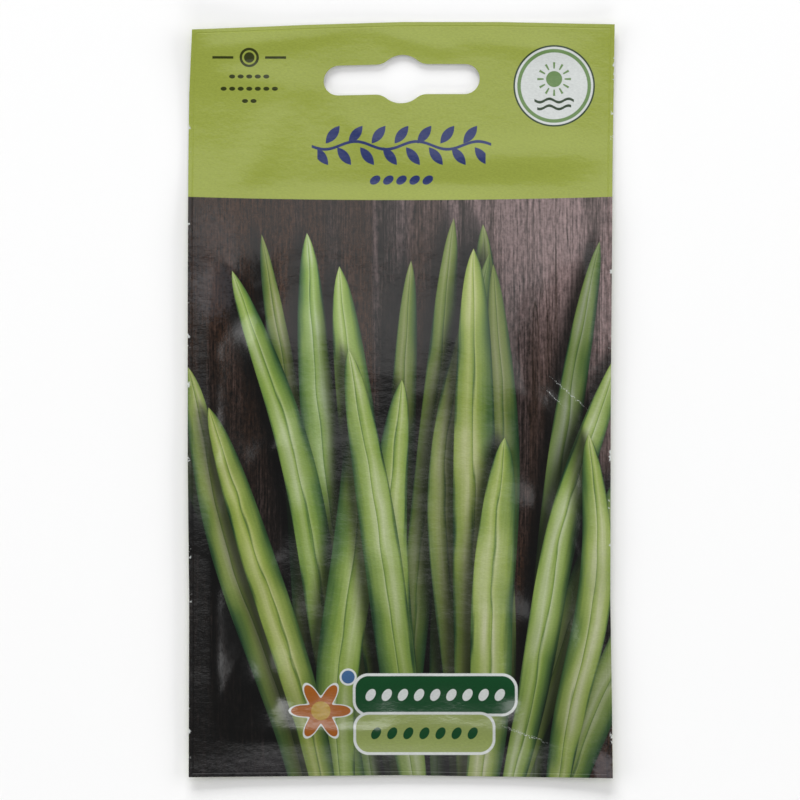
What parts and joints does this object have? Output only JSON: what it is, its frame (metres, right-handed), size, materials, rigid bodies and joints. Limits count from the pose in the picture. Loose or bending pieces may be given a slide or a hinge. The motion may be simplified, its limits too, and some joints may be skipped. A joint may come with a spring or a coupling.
{
  "type": "seed packet",
  "caption": "Flat heat-sealed seed packet with a green header and hang slot above a filled pouch of loose bean seeds, lying on its back.",
  "frame": {"origin": "under the middle of the packet's outline, on the surface that it lies on", "axes": "+Z out of the printed front, which faces up; +Y along the packet towards the header and its hang slot; +X to the right as the front is seen upright"},
  "size_m": [0.087, 0.155, 0.0074],
  "materials": {
    "front_print": "printed laminate film, satin gloss",
    "back_print": "printed laminate film, satin gloss",
    "seed_coat": "dry seed coat, semi-matt"
  },
  "bodies": {
    "root": {"front_film": "front_print", "back_film": "back_print", "seed_01": "seed_coat", "seed_02": "seed_coat", "seed_03": "seed_coat", "seed_04": "seed_coat", "seed_05": "seed_coat", "seed_06": "seed_coat", "seed_07": "seed_coat", "seed_08": "seed_coat", "seed_09": "seed_coat", "seed_10": "seed_coat", "seed_11": "seed_coat", "seed_12": "seed_coat", "seed_13": "seed_coat", "seed_14": "seed_coat", "seed_15": "seed_coat", "seed_16": "seed_coat", "seed_17": "seed_coat", "seed_18": "seed_coat", "seed_19": "seed_coat", "seed_20": "seed_coat", "seed_21": "seed_coat", "seed_22": "seed_coat", "seed_23": "seed_coat", "seed_24": "seed_coat", "seed_25": "seed_coat", "seed_26": "seed_coat", "seed_27": "seed_coat", "seed_28": "seed_coat", "seed_29": "seed_coat", "seed_30": "seed_coat", "seed_31": "seed_coat", "seed_32": "seed_coat", "seed_33": "seed_coat", "seed_34": "seed_coat"}
  },
  "joints": []
}
